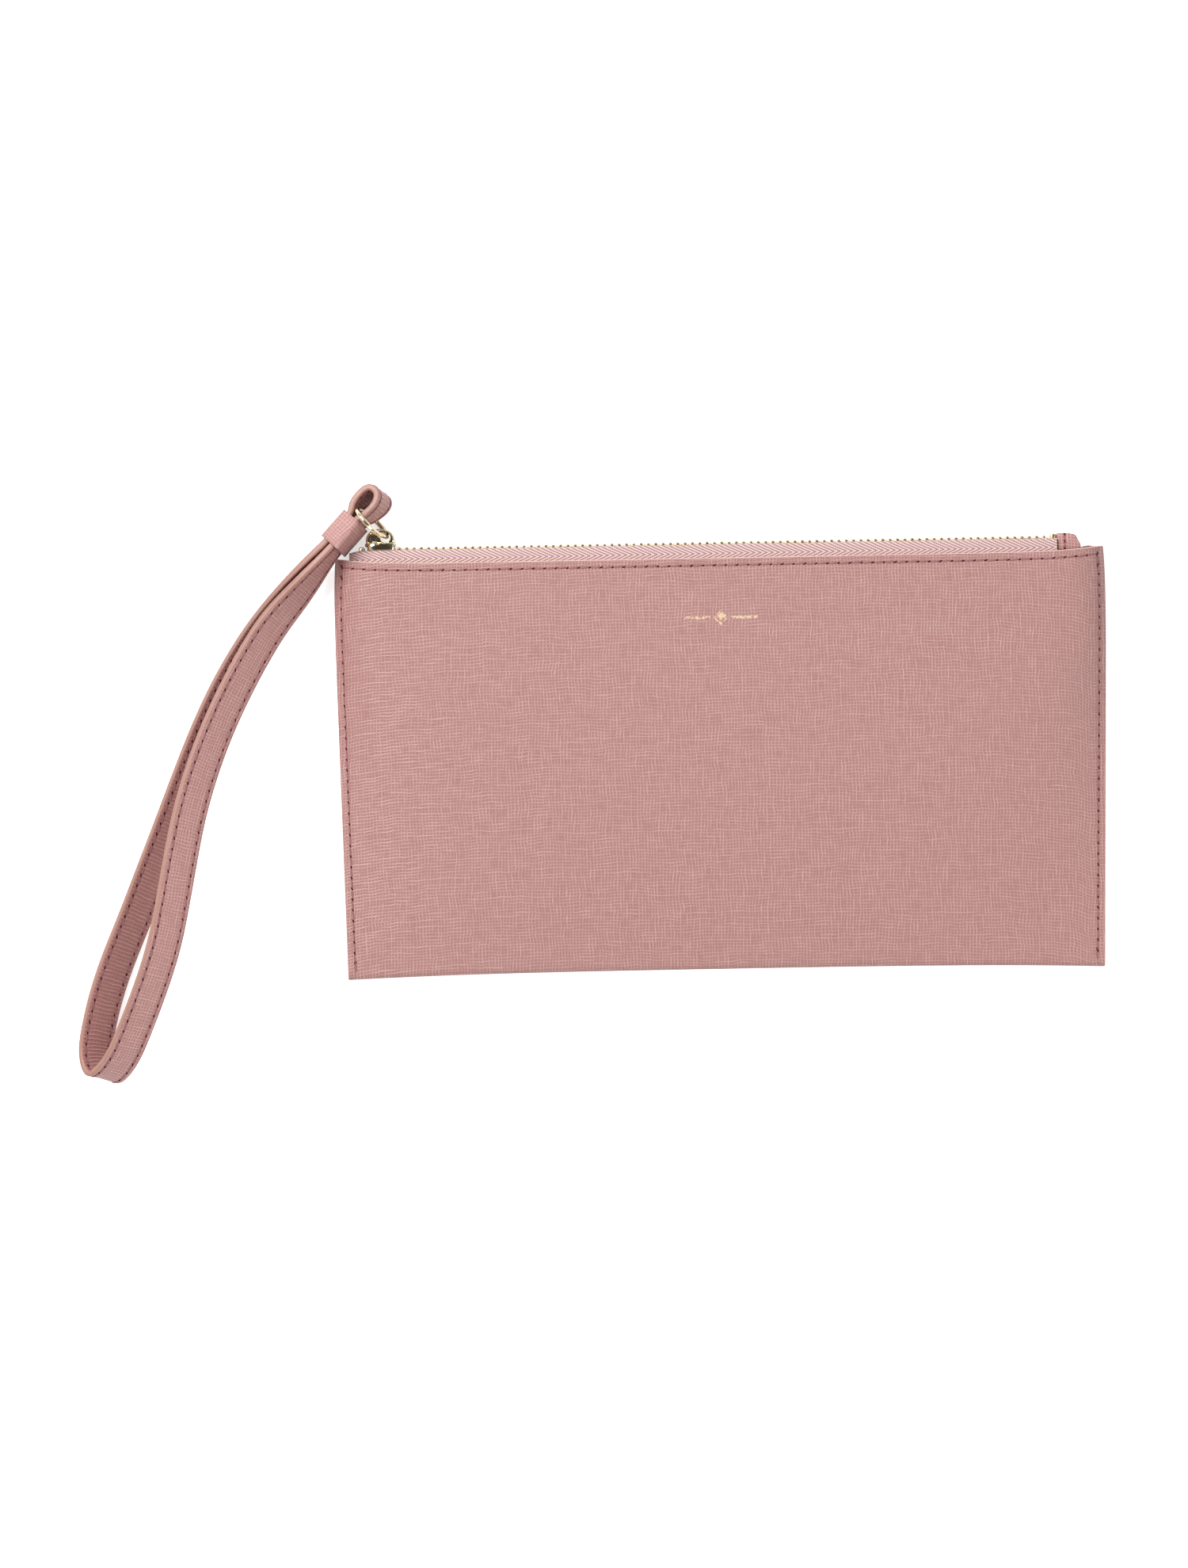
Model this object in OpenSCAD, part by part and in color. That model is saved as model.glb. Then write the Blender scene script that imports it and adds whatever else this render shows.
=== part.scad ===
// Wristlet wallet: a flat zip pouch of cross-grained leather with a wrist strap.
// It lies on its back. X runs along the zip, Y from the fold up to the zip, Z up.
// The origin is the middle of the back panel's outer face. All sizes are in millimetres.

/* [Pouch] */
// Width of the pouch along the zip
pouch_w = 212.2; // [190:0.2:230]
// Width of the pouch along the bottom fold
pouch_bottom_w = 207.4; // [186:0.2:226]
// Height of the panels from the fold to their cut top edge
pouch_h = 113.5; // [105:0.5:125]
// Height of the top corners above the middle of the top edge
corner_rise = 1.8; // [0:0.1:3]
// How far the seams draw each top corner in
corner_in = 0.8; // [0:0.1:1.5]
// Rise of the bottom fold's middle above its corners
fold_rise = 1.2; // [0:0.1:2]
// Thickness of the leather
leather_t = 1.1; // [0.9:0.1:1.1]
// Thickness of the pouch at its side seams
side_t = 3; // [3:0.1:3.4]
// Thickness of the pouch at the bottom fold
fold_t = 3.6; // [3:0.1:4.4]
// Thickness of the pouch at its fullest
full_t = 9.6; // [9.4:0.1:10.4]
// Thickness of the lining cloth
lining_t = 0.25; // [0.2:0.05:0.25]

/* [Seams] */
// Distance of a seam from the leather's edge
seam_inset = 2.1; // [1.8:0.1:2.6]
// Length of one stitch, hole to hole
stitch = 3; // [2.6:0.1:3.6]
// Width of the sewing thread
thread_w = 0.5; // [0.4:0.05:0.6]

/* [Zip] */
// Height of the chain's middle above the back face
chain_z = 4.7; // [4.65:0.05:4.75]
// Distance of the chain's middle from the origin along Y
chain_y = 59.4; // [59:0.1:60]
// Thickness of the tape
tape_t = 0.5; // [0.4:0.05:0.6]
// Pitch of the teeth on one tape
tooth_pitch = 2; // [1.8:0.1:2.2]
// Length of the closed row of teeth
chain_len = 182; // [160:1:182]
// Length of the slider
slider_len = 7.9; // [7:0.1:8.2]
// Width of the slider across its flanges
slider_w = 5.4; // [5.2:0.1:5.5]
// Height of the arched cap above the slider's top plate
cap_h = 3.9; // [3.6:0.1:4.2]

/* [Strap and ring] */
// Width of the strap
strap_w = 10; // [9:0.1:10.5]
// Thickness of one strap ply
ply_t = 0.9; // [0.7:0.05:0.95]
// Distance of the strap's seams from its edges
strap_seam = 1.5; // [1.2:0.1:2]
// Length of the keeper along the strap
keeper_len = 9.4; // [8:0.1:9.6]
// Thickness of the keeper's leather
keeper_t = 0.85; // [0.7:0.05:0.9]
// Radius of the ring's wire
wire_r = 0.65; // [0.6:0.05:0.7]
// Radius of the ring's round ends, to the middle of the wire
ring_r = 4.4; // [4.3:0.05:4.45]
// Length of the ring's straight sides
ring_straight = 6.8; // [6.6:0.1:6.9]
// Lean of the ring away from upright, in degrees
ring_lean = 12; // [10:0.5:14]

/* [Hidden] */

leather = [0.78, 0.58, 0.56];
cloth = [0.85, 0.70, 0.68];
thread = [0.60, 0.30, 0.36];
gold = [0.87, 0.77, 0.56];
foil = [0.90, 0.75, 0.68];

fold_y = -57.6;
top_y = fold_y + pouch_h;
// Room left between the leather and the cloth inside it
cloth_gap = 0.1;

function lerp(a, b, t) = a + (b - a) * t;
function unit(v) = v / norm(v);

// ---- shape of the pouch ----
// Half the pouch's width at height y
function half_w(y) =
    let (up = max(0, (y - fold_y) / pouch_h))
    lerp(pouch_bottom_w, pouch_w, up) / 2 - corner_in * pow(up, 12);
// The fold bows up between its corners
function fold_edge(s) = fold_y + fold_rise * (1 - pow(abs(s), 3.3));
// Cut top edge: low along the zip, rising to the corners
function edge_y(s) = top_y + corner_rise * pow(abs(s), 12);
// Outer face of the front panel; s is -1 at the left side and 1 at the right,
// h is 0 where the fold's curve ends and 1 at the top edge
function puff(s, h) =
    let (across = 1 - pow(abs(s), lerp(5, 30, pow(h, 3))),
         fold_share = (fold_t - side_t) / (full_t - side_t),
         along = fold_share + (1 - fold_share) * (1 - pow(1 - h, 3.2)))
    side_t + (full_t - side_t) * across * along;
// The same face at a place along Y
function front_z(s, y) =
    let (foot = fold_edge(s) + puff(s, 0) / 2)
    puff(s, max(0, (y - foot) / (edge_y(s) - foot)));

side_stations = [0, 0.25, 0.45, 0.6, 0.72, 0.8, 0.86, 0.9, 0.93, 0.955, 0.98, 1];
stations = concat([for (i = [len(side_stations) - 1:-1:1]) -side_stations[i]],
    side_stations);
rows = [0.03, 0.07, 0.12, 0.18, 0.25, 0.33, 0.42, 0.52, 0.62, 0.72, 0.81, 0.88, 0.94, 1];
fold_steps = 5;

// Section of a folded sheet lying `inset` inside the pouch's outer face, `t` thick,
// that ends `down` below the cut edge
function fold_section(s, inset, t, down) =
    let (
        top = edge_y(s) - down,
        r = puff(s, 0) / 2,
        foot = fold_edge(s) + r,
        heights = [for (h = rows) lerp(foot, top, h)],
        last = len(rows) - 1,
        outer = [for (i = [last:-1:0]) [heights[i], front_z(s, heights[i]) - inset]],
        outer_fold = [for (i = [0:fold_steps]) let (a = 90 + 180 * i / fold_steps)
            [foot + (r - inset) * cos(a), r + (r - inset) * sin(a)]],
        inner_fold = [for (i = [fold_steps:-1:0]) let (a = 90 + 180 * i / fold_steps)
            [foot + (r - inset - t) * cos(a), r + (r - inset - t) * sin(a)]],
        inner = [for (y = heights) [y, front_z(s, y) - inset - t]]
    )
    concat(outer, outer_fold, [[top, inset]], [[top, inset + t]], inner_fold, inner);

// Joins equal closed sections, listed as points in space, into one solid. The second
// half of a section runs back along its first half, so the ends close in pairs.
// other_way splits each four-sided face along its other diagonal
module loft(sections, closed = false, other_way = false) {
    n = len(sections[0]);
    count = len(sections);
    points = [for (ring = sections) each ring];
    last = closed ? count - 1 : count - 2;
    sides = [for (k = [0:last], i = [0:n - 1])
        let (a = k * n, b = ((k + 1) % count) * n, j = (i + 1) % n)
        each other_way ? [[a + i, b + i, a + j], [a + j, b + i, b + j]]
            : [[a + i, b + j, a + j], [a + i, b + i, b + j]]];
    far = (count - 1) * n;
    ends = closed ? [] : [for (i = [0:n / 2 - 2])
        let (j = i + 1, p = n - 1 - i, q = n - 2 - i)
        each [[p, i, j], [p, j, q], [far + i, far + p, far + j], [far + j, far + p, far + q]]];
    polyhedron(points, concat(sides, ends), convexity = 6);
}

// One sheet wrapped round the fold from the back's top edge to the front's
module folded_sheet(inset, t, down, side_gap) {
    loft([for (s = stations)
        [for (p = fold_section(s, inset, t, down))
            [s * (half_w(p[0]) - side_gap), p[0], p[1]]]]);
}

module leather_body() {
    color(leather) folded_sheet(0, leather_t, 0, 0);
}

// How far the lining's top edge lies below the leather's
lining_drop = 6.8;

module lining_bag() {
    color(cloth) folded_sheet(leather_t + cloth_gap, lining_t, lining_drop, 0.8);
}

// ---- threads ----
// One stitch: a bar on each face and the leg that runs through the layers
module stitch_at(low, high, turn = 0, length = stitch - 0.7) {
    rotate([0, 0, turn]) {
        translate([-length / 2, -thread_w / 2, high - 0.15]) cube([length, thread_w, 0.35]);
        translate([-length / 2, -thread_w / 2, low]) cube([length, thread_w, 0.35]);
        translate([-length / 2, -thread_w / 2, low + 0.1])
            cube([thread_w, thread_w, high - low]);
    }
}

// A side seam, side = -1 at the left or 1 at the right
module side_seam(side) {
    bottom = fold_y + 2.6;
    count = floor((top_y - 1 - bottom) / stitch);
    color(thread) for (i = [0:count - 1]) {
        y = bottom + (i + 0.5) * stitch;
        s = 1 - seam_inset / half_w(y);
        translate([side * s * half_w(y), y, 0]) stitch_at(0, front_z(s, y), 90);
    }
}

// A seam along the top edge of one panel, through the leather and the zip tape
module top_seam(front) {
    run = 2 * (pouch_w / 2 - 12);
    count = floor(run / stitch);
    color(thread) for (i = [0:count - 1]) {
        x = -run / 2 + (i + 0.5) * stitch;
        s = x / half_w(top_y);
        y = edge_y(s) - seam_inset;
        face = front_z(s, y);
        translate([x, y, 0])
            stitch_at(front ? face - leather_t - tape_t : 0, front ? face : leather_t + tape_t);
    }
}

// ---- zip ----
tape_left = -99;
tape_right = 92;
tape_foot_y = top_y - 5.6;
tape_top_y = chain_y + tape_t / 2;

// One tape: it stands inside the panel's top edge, then turns in to the chain.
// side = 1 is the front tape, -1 the back one
module zip_tape(side) {
    steps = 48;
    color(cloth) loft([for (i = [0:steps])
        let (
            x = lerp(tape_left, tape_right, i / steps),
            s = x / half_w(top_y),
            wall = side > 0 ? front_z(s, tape_foot_y) - leather_t - cloth_gap
                : leather_t + cloth_gap,
            inner = wall - side * tape_t,
            tip = chain_z + side * 0.9,
            bend = tape_t,
            shape = [[tape_foot_y, wall], [tape_top_y - bend, wall],
                [tape_top_y - 0.3 * bend, wall - side * 0.3 * bend],
                [tape_top_y, inner], [tape_top_y, tip],
                [tape_top_y - tape_t, tip], [tape_top_y - tape_t, inner - side * bend],
                [tape_top_y - tape_t, inner], [tape_top_y - 2 * tape_t, inner],
                [tape_foot_y, inner]]
        )
        [for (k = [0:9]) let (p = shape[side > 0 ? 9 - k : k]) [x, p[0], p[1]]]]);
}

chain_right = 90.2;
chain_left = chain_right - chain_len;
tooth_h = 2.2;

// The teeth of one tape: a clamp over the tape's edge and a narrower head past the middle
module zip_teeth(side) {
    count = floor(chain_len / tooth_pitch);
    shift = side > 0 ? 0 : tooth_pitch / 2;
    color(gold) for (i = [0:count - 1]) {
        x = chain_left + shift + i * tooth_pitch;
        clamp_z = side > 0 ? chain_z + 0.45 : chain_z - 1.75;
        head_z = side > 0 ? chain_z - 0.85 : chain_z - 0.45;
        translate([x, chain_y - tooth_h / 2, clamp_z]) cube([0.95, tooth_h, 1.3]);
        translate([x, chain_y - tooth_h / 2 + 0.2, head_z])
            cube([0.9, tooth_h - 0.4, 1.3]);
    }
}

module zip_top_stops() {
    color(gold) for (side = [-1, 1])
        translate([tape_left + 0.6, chain_y - 1.2, chain_z + (side > 0 ? 0.5 : -2.1)])
            cube([1.5, 2.4, 1.6]);
}

module zip_bottom_stop() {
    color(gold) translate([chain_right + 0.2, chain_y - 1.3, chain_z - 1.9])
        cube([1.5, 2.9, 3.8]);
}

// Leather tab folded over the end of the zip, with one slanted side
tab_left = tape_right + 0.1;
tab_low_z = 2.4;
tab_high_z = 7.3;
module zip_end_tab() {
    color(leather) translate([0, 0, tab_low_z]) linear_extrude(tab_high_z - tab_low_z)
        polygon([[tab_left, 56.3], [98.3, 56.3], [98.7, 57.7], [97.2, 60.6],
            [95.2, 61], [tab_left, 61.1]]);
}

module end_tab_thread() {
    color(thread) for (i = [0:1])
        translate([tab_left + 2, 57.7 + i * 2, 0])
            stitch_at(tab_low_z - 0.15, tab_high_z, 90, 1.6);
}

// Plain stamped mark: a lozenge between two bars
module foil_stamp() {
    mark_y = 39.6;
    mark_z = front_z(0, mark_y);
    color(foil) translate([0, mark_y, mark_z - 0.2]) {
        rotate([0, 0, 45]) translate([-1.5, -1.5, 0]) cube([3, 3, 0.25]);
        for (side = [-1, 1]) translate([side * 6.4 - 3.6, -0.4, 0]) cube([7.2, 0.8, 0.25]);
    }
}

// ---- slider ----
slider_left = -96.4;
slider_right = slider_left + slider_len;
plate_t = 0.95;
slot_half = 0.35;
tooth_room = 1.35;
plate_top = chain_y + tooth_room + plate_t;
plate_bottom = chain_y - tooth_room - plate_t;

// Draws a plan in X and Z and gives it depth from y = low to y = high
module plan(low, high) {
    translate([0, high, chain_z]) rotate([90, 0, 0]) linear_extrude(high - low) children();
}

module slider_outline() {
    w = slider_w / 2;
    polygon([[slider_left, -w + 1], [slider_left + 0.9, -w + 0.1], [slider_left + 2.4, -w],
        [slider_right - 0.6, -w + 0.35], [slider_right, -w + 0.8],
        [slider_right, w - 0.8], [slider_right - 0.6, w - 0.35], [slider_left + 2.4, w],
        [slider_left + 0.9, w - 0.1], [slider_left, w - 1]]);
}

module flange_outline() {
    difference() {
        slider_outline();
        translate([slider_left - 1, -2.15]) square([slider_len + 2, 4.3]);
    }
}

module slider_body() {
    post_x = slider_left + 1.7;
    color(gold) {
        plan(plate_top - plate_t, plate_top) slider_outline();
        plan(plate_bottom, plate_bottom + plate_t) slider_outline();
        plan(chain_y + slot_half, plate_top) flange_outline();
        plan(plate_bottom, chain_y - slot_half) flange_outline();
        plan(plate_bottom, plate_top)
            polygon([[post_x - 1.1, 0], [post_x, -0.9], [post_x + 1.8, 0], [post_x, 0.9]]);
    }
}

// Centre of the cap's window, where the ring passes
window_x = -91.2;
window_y = plate_top + 1.5;
window_r = 1.45;
cap_half = 1.1;

module slider_cap() {
    top = plate_top + cap_h;
    color(gold) translate([0, 0, chain_z - cap_half]) linear_extrude(2 * cap_half)
        difference() {
            polygon([[slider_left + 0.3, plate_top], [slider_left + 0.5, plate_top + 1.8],
                [slider_left + 1.6, top - 0.7], [slider_left + 3, top],
                [slider_right - 2.4, top], [slider_right - 0.8, top - 0.9],
                [slider_right - 0.2, plate_top + 1.6], [slider_right - 0.2, plate_top]]);
            translate([window_x, window_y]) circle(window_r, $fn = 48);
            translate([slider_left + 1.3, plate_top])
                square([1.8, 1.7]);
        }
}

// Bent spring strip under the cap that drops its tooth into the chain
module slider_lock_spring() {
    color(gold) translate([slider_left + 1.5, plate_top, chain_z - 0.6])
        cube([1.4, 0.5, 1.2]);
}

// ---- ring ----
lean_way = [-0.8, 0.6];
lean = [sin(ring_lean) * lean_way[0], sin(ring_lean) * lean_way[1], cos(ring_lean)];
reach_flat = [-0.62, 0.785];
reach = unit([reach_flat[0], reach_flat[1],
    -(reach_flat[0] * lean[0] + reach_flat[1] * lean[1]) / lean[2]]);
across = cross(lean, reach);
// How far down its bend the ring sits in the window
bend_depth = 1.3;
bend_in = ring_r - sqrt(ring_r * ring_r - bend_depth * bend_depth);
window = [window_x, window_y, chain_z];
ring_mid = window + (ring_straight / 2 + bend_depth) * lean + (ring_r - bend_in) * reach;
far_wire = ring_mid + ring_r * reach;

module pull_ring() {
    color(gold) multmatrix([
        [reach[0], lean[0], -across[0], ring_mid[0]],
        [reach[1], lean[1], -across[1], ring_mid[1]],
        [reach[2], lean[2], -across[2], ring_mid[2]],
        [0, 0, 0, 1]]) {
        for (side = [-1, 1]) {
            translate([side * ring_r, ring_straight / 2, 0]) rotate([90, 0, 0])
                cylinder(r = wire_r, h = ring_straight, $fn = 32);
            translate([0, side * ring_straight / 2, 0]) rotate([0, 0, side > 0 ? 0 : 180])
                rotate_extrude(angle = 180, $fn = 64)
                    translate([ring_r, 0]) circle(wire_r, $fn = 32);
        }
    }
}

// ---- strap ----
// Route of the strap's middle line and the way its width runs: x, y, z, heading and dip
// of the width in degrees. It starts in the keeper, goes down the under strand, turns,
// comes back up the upper strand and round the small loop
keeper_low = [-105.3, 61, 8.2];
keeper_high = [-99, 67.9, 8];
route = [
    [-106, 61.6, 7.9, -42, 78], [-110.6, 56.4, 7.4, -42, 70], [-119, 46.2, 5.6, -40, 50],
    [-127, 36.4, 4.6, -37, 38], [-134.8, 23.8, 4, -30, 35], [-141, 11.2, 3.8, -25, 34],
    [-146.4, -1.8, 3.7, -23, 33], [-151.6, -14.8, 3.7, -22, 33], [-156.8, -27.6, 3.7, -22, 33],
    [-162, -40.4, 3.7, -22, 33], [-166.2, -50.2, 3.7, -21, 33], [-169.6, -59.6, 3.8, -20, 33],
    [-172, -68.8, 3.9, -20, 33], [-173.2, -77, 4.4, -20, 33], [-170.8, -83, 7, -20, 33],
    [-165.4, -78, 11.4, -20, 33], [-161.2, -69.6, 14.4, -20, 33], [-157.2, -60, 15.9, -19, 33],
    [-153.6, -50, 16.4, -16, 33], [-151, -40, 16.2, -13, 33], [-147.7, -22.6, 14.8, -14, 33],
    [-144.2, -6.8, 13, -18, 34], [-136.6, 14.2, 10.6, -27, 36], [-124.6, 36.4, 8.9, -37, 38],
    [-116.2, 46.6, 8.5, -40, 50], [-108.8, 55.4, 8.6, -42, 70], [-104.6, 60.4, 8.5, -42, 78],
    [-98.2, 67.1, 8.3, -42, 78], [-95.1, 68.9, 8, -40, 76], [-92.2, 71.4, 7.8, -36, 70],
    [-91.4, 74.2, 7.8, -34, 66], [-93.8, 75.9, 7.8, -34, 66], [-96.8, 73.9, 7.8, -36, 70],
    [-99, 71.6, 7.8, -40, 76], [-99.8, 68.5, 7.8, -42, 78]];
count = len(route);
strap_steps = 3;

function pick(i) = route[(i + count) % count];
function spline(a, b, c, d, t) = 0.5 * (2 * b + (c - a) * t
    + (2 * a - 5 * b + 4 * c - d) * t * t + (3 * b - 3 * c + d - a) * t * t * t);
line = [for (i = [0:count - 1], k = [0:strap_steps - 1])
    spline(pick(i - 1), pick(i), pick(i + 1), pick(i + 2), k / strap_steps)];
total = len(line);
function spot(i) = let (p = line[(i + total) % total]) [p[0], p[1], p[2]];
function travel(i) = unit(spot(i + 1) - spot(i - 1));
// Width direction, squared up to the strap's run
function width_way(i) =
    let (p = line[i % total], t = travel(i),
         w = [cos(p[4]) * cos(p[3]), cos(p[4]) * sin(p[3]), -sin(p[4])])
    unit(w - (w * t) * t);
// Direction from the strap's outer face to the side that its loop closes round
function inward(i) = cross(travel(i), width_way(i));

// A strip along the strap between two depths and two places across its width
module strap_strip(in_low, in_high, w_low, w_high) {
    loft([for (i = [0:total - 1])
        let (m = spot(i), w = width_way(i), n = inward(i))
        [m + w * w_low + n * in_low, m + w * w_high + n * in_low,
            m + w * w_high + n * in_high, m + w * w_low + n * in_high]],
        closed = true, other_way = in_high < 0);
}

module strap_outer_ply() {
    color(leather) strap_strip(-ply_t, -0.01, -strap_w / 2, strap_w / 2);
}

module strap_inner_ply() {
    color(leather) strap_strip(0.01, ply_t, -strap_w / 2, strap_w / 2);
}

module strap_thread() {
    color(thread) for (side = [-1, 1]) {
        mid = side * (strap_w / 2 - strap_seam);
        strap_strip(ply_t - 0.1, ply_t + 0.1, mid - thread_w / 2, mid + thread_w / 2);
        strap_strip(-ply_t - 0.1, 0.1 - ply_t, mid - thread_w / 2, mid + thread_w / 2);
    }
}

// ---- keeper ----
keeper_way = unit(keeper_high - keeper_low);
keeper_dip = [cos(78) * cos(-42), cos(78) * sin(-42), -sin(78)];
keeper_w = unit(keeper_dip - (keeper_dip * keeper_way) * keeper_way);
keeper_out = cross(keeper_way, keeper_w);
keeper_mid = (keeper_low + keeper_high) / 2;
// Room for both strands and their threads
keeper_room = [strap_w + 0.3, 4 * ply_t + 0.9];

module in_keeper() {
    multmatrix([
        [keeper_w[0], keeper_out[0], keeper_way[0], keeper_mid[0]],
        [keeper_w[1], keeper_out[1], keeper_way[1], keeper_mid[1]],
        [keeper_w[2], keeper_out[2], keeper_way[2], keeper_mid[2]],
        [0, 0, 0, 1]]) children();
}

module strap_keeper() {
    outer = [keeper_room[0] + 2 * keeper_t, keeper_room[1] + 2 * keeper_t];
    color(leather) in_keeper() translate([0, 0, -keeper_len / 2]) linear_extrude(keeper_len)
        difference() {
            square(outer, center = true);
            square(keeper_room, center = true);
        }
}

module keeper_thread() {
    face = keeper_room[1] / 2 + keeper_t;
    color(thread) in_keeper() for (i = [-1:1])
        translate([2.4, face - 0.2, i * 2.8 - 1]) cube([thread_w, 0.4, 2]);
}

leather_body();
lining_bag();
zip_tape(1);  // zip_tape_front
zip_tape(-1);  // zip_tape_back
zip_teeth(1);  // zip_teeth_front
zip_teeth(-1);  // zip_teeth_back
zip_top_stops();
zip_bottom_stop();
zip_end_tab();
end_tab_thread();
side_seam(-1);  // side_seam_thread_left
side_seam(1);  // side_seam_thread_right
top_seam(true);  // top_seam_thread_front
top_seam(false);  // top_seam_thread_back
foil_stamp();
slider_body();
slider_cap();
slider_lock_spring();
pull_ring();
strap_outer_ply();
strap_inner_ply();
strap_thread();
strap_keeper();
keeper_thread();
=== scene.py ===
import math

import bmesh
import bpy
from mathutils import Matrix, Vector, noise


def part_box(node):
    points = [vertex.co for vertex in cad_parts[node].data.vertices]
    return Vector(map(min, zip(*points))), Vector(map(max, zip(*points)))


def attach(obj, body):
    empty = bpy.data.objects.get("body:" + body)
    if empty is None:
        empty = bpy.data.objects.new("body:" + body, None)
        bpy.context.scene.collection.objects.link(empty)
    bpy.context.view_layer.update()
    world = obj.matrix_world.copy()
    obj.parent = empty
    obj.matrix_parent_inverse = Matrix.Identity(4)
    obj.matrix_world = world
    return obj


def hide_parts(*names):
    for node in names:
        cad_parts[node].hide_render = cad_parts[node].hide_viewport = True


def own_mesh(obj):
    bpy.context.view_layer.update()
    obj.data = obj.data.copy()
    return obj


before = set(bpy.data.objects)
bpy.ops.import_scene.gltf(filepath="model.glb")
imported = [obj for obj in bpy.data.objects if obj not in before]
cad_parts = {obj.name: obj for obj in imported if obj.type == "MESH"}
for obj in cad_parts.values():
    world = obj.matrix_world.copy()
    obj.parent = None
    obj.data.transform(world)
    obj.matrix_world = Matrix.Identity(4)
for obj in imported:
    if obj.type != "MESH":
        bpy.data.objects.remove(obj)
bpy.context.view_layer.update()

mm = 0.001


# ---- camera, floor and light ----
# A camera straight above the wallet, turned a degree, over a white table top.
# Three wide soft boxes and a banded room light it, so the metal has bright and dark to show.
camera_data = bpy.data.cameras.new("camera")
camera_data.lens = 100
camera_data.sensor_width = 36
camera_data.clip_start = 0.05
camera = bpy.data.objects.new("camera", camera_data)
camera.location = (-0.0354, -0.0051, 1.195)
camera.rotation_euler = (0, 0, math.radians(-1.05))
bpy.context.scene.collection.objects.link(camera)
bpy.context.scene.camera = camera
bpy.context.scene.view_settings.view_transform = "Standard"


def paint(name, color, roughness=0.5, metallic=0.0):
    """A material with its shader's plain values set; returns it, its nodes and its shader."""
    material = bpy.data.materials.new(name)
    material.use_nodes = True
    shader = material.node_tree.nodes["Principled BSDF"]
    shader.inputs["Base Color"].default_value = (*color, 1)
    shader.inputs["Roughness"].default_value = roughness
    shader.inputs["Metallic"].default_value = metallic
    return material, material.node_tree, shader


def node(tree, kind, settings=None, **inputs):
    """Adds a node, sets its settings and its inputs; an input may be a value or a socket."""
    made = tree.nodes.new(kind)
    for key, value in (settings or {}).items():
        setattr(made, key, value)
    for key, value in inputs.items():
        by_number = key[0] == "i" and key[1:].isdigit()
        socket = made.inputs[int(key[1:]) if by_number else key]
        if isinstance(value, bpy.types.NodeSocket):
            tree.links.new(value, socket)
        else:
            socket.default_value = value
    return made


def calc(tree, operation, a, b=0.0, clamp=False):
    """One sum, product or other step on two numbers."""
    made = node(tree, "ShaderNodeMath", {"operation": operation, "use_clamp": clamp}, i0=a, i1=b)
    return made.outputs[0]


def blend_colors(tree, share, first, second):
    """Mixes two colours, each a colour or a socket."""
    made = tree.nodes.new("ShaderNodeMix")
    made.data_type = "RGBA"
    for number, value in ((0, share), (6, first), (7, second)):
        socket = made.inputs[number]
        if isinstance(value, bpy.types.NodeSocket):
            tree.links.new(value, socket)
        else:
            socket.default_value = value if isinstance(value, float) else (*value, 1)
    return made.outputs[2]


def only(piece):
    """Selects one object alone and makes it the active one."""
    bpy.ops.object.select_all(action="DESELECT")
    piece.select_set(True)
    bpy.context.view_layer.objects.active = piece


bpy.ops.object.select_all(action="DESELECT")
bpy.ops.mesh.primitive_plane_add(size=6, location=(0, 0, -0.0002))
floor = bpy.context.active_object
floor.name = "table_top"
floor_paint, floor_tree, floor_shader = paint("table_white", (0.93, 0.93, 0.93), 0.8)
speck = node(floor_tree, "ShaderNodeTexNoise", Scale=3.0)
floor_tree.links.new(
    blend_colors(floor_tree, speck.outputs[0], (0.84, 0.84, 0.84), (0.88, 0.88, 0.88)),
    floor_shader.inputs["Base Color"],
)
floor_shader.inputs["Emission Color"].default_value = (1, 1, 1, 1)
seen = node(floor_tree, "ShaderNodeLightPath").outputs["Is Camera Ray"]
floor_glow = calc(floor_tree, "MULTIPLY", seen, 0.6)
floor_tree.links.new(floor_glow, floor_shader.inputs["Emission Strength"])
floor.data.materials.append(floor_paint)


def soft_box(name, place, aim, size, power):
    """A square area lamp turned towards a point."""
    lamp = bpy.data.lights.new(name, "AREA")
    lamp.shape = "SQUARE"
    lamp.size = size
    lamp.energy = power
    holder = bpy.data.objects.new(name, lamp)
    holder.location = place
    holder.rotation_euler = (Vector(aim) - Vector(place)).to_track_quat("-Z", "Y").to_euler()
    bpy.context.scene.collection.objects.link(holder)


soft_box("key_box", (-0.7, 0.8, 1.1), (-0.02, 0, 0), 0.8, 27)
soft_box("fill_box", (0.95, -0.25, 1.1), (0, 0, 0), 0.7, 8)
soft_box("low_box", (-0.4, -1.1, 0.8), (-0.05, 0, 0), 0.6, 6)

world = bpy.data.worlds.new("room")
bpy.context.scene.world = world
world.use_nodes = True
sky = world.node_tree
sky_way = node(sky, "ShaderNodeTexCoord").outputs["Generated"]
sky_height = node(sky, "ShaderNodeSeparateXYZ", i0=sky_way)
sky_ramp = node(sky, "ShaderNodeValToRGB", Fac=sky_height.outputs[2])
sky_ramp.color_ramp.elements[0].position = 0.0
sky_ramp.color_ramp.elements[0].color = (1.0, 1.0, 1.0, 1)
sky_ramp.color_ramp.elements[1].position = 1.0
sky_ramp.color_ramp.elements[1].color = (0.06, 0.06, 0.06, 1)
for place, gray in ((0.32, 0.75), (0.42, 0.12), (0.62, 0.1), (0.7, 0.8), (0.84, 0.7), (0.9, 0.08)):
    sky_ramp.color_ramp.elements.new(place).color = (gray, gray, gray, 1)
sky.links.new(sky_ramp.outputs[0], sky.nodes["Background"].inputs["Color"])
sky.nodes["Background"].inputs["Strength"].default_value = 0.72


# ---- leather body ----
# One cut of cross-grained calf, rolled round the bottom fold so that it is back and
# front panel at once. It is 1.1 mm thick, and its cut edges are painted.
leather_t = 1.1
side_t = 3.0
fold_t = 3.6
full_t = 9.6
fold_y = -57.6
pouch_h = 113.5
top_y = fold_y + pouch_h
seam_in = 2.1


def between(a, b, t):
    return a + (b - a) * t


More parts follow.
